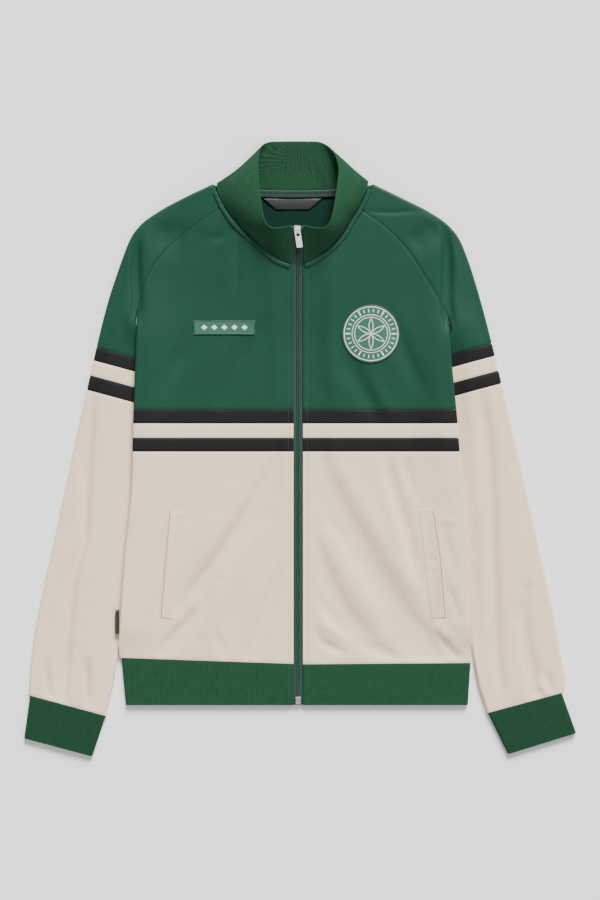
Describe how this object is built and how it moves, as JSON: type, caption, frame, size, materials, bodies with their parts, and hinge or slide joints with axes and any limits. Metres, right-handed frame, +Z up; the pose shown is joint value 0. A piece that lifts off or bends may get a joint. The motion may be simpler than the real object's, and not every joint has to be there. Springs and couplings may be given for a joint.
{
  "type": "track jacket",
  "caption": "Zip-front track jacket with raglan sleeves, chest stripe bands, stand collar, rib hem and cuffs, laid flat and zipped up.",
  "frame": {"origin": "on the surface the jacket lies on, under the middle of its bounding box", "axes": "+Z up from the surface, +Y from hem to collar, +X towards the picture's right, which is the wearer's left"},
  "size_m": [0.7465, 0.832, 0.0433],
  "materials": {
    "green_tricot": "smooth, slightly shiny warp knit",
    "cream_tricot": "smooth, slightly shiny warp knit",
    "black_tricot": "smooth, slightly shiny warp knit",
    "green_rib": "matt fine rib knit",
    "zip_green": "matt woven tape and coil",
    "black_satin": "satin",
    "embroidery": "matt thread",
    "nickel": "dull nickel plate"
  },
  "bodies": {
    "jacket": {"front_upper_left": "green_tricot", "front_upper_right": "green_tricot", "front_band_top_left": "black_tricot", "front_band_top_right": "black_tricot", "front_band_mid_left": "cream_tricot", "front_band_mid_right": "cream_tricot", "front_band_low_left": "black_tricot", "front_band_low_right": "black_tricot", "front_lower_left": "cream_tricot", "front_lower_right": "cream_tricot", "back_upper": "green_tricot", "back_band_top": "black_tricot", "back_band_mid": "cream_tricot", "back_band_low": "black_tricot", "back_lower": "cream_tricot", "sleeve_upper_left": "green_tricot", "sleeve_upper_right": "green_tricot", "sleeve_band_top_left": "black_tricot", "sleeve_band_top_right": "black_tricot", "sleeve_band_mid_left": "cream_tricot", "sleeve_band_mid_right": "cream_tricot", "sleeve_band_low_left": "black_tricot", "sleeve_band_low_right": "black_tricot", "sleeve_lower_left": "cream_tricot", "sleeve_lower_right": "cream_tricot", "cuff_left": "green_rib", "cuff_right": "green_rib", "hem_rib": "green_rib", "collar": "green_rib", "neck_strip_left": "green_tricot", "neck_strip_right": "green_tricot", "neck_tape": "green_tricot", "neck_label": "black_satin", "side_label": "black_satin", "chest_patch": "embroidery", "crest_patch": "embroidery", "pocket_welt_left": "cream_tricot", "pocket_welt_right": "cream_tricot", "zip_tape_left": "zip_green", "zip_tape_right": "zip_green", "zip_chain": "zip_green", "zip_box": "nickel", "zip_slider": "nickel"},
    "pull": {"zip_pull": "nickel"}
  },
  "joints": [
    {"name": "pull_swing", "type": "hinge", "parent": "jacket", "child": "pull", "pos_m": [-0.00345, 0.29157, 0.03491], "axis": [-0.9903, -0.127, -0.0569], "range_deg": [0, 160]}
  ]
}
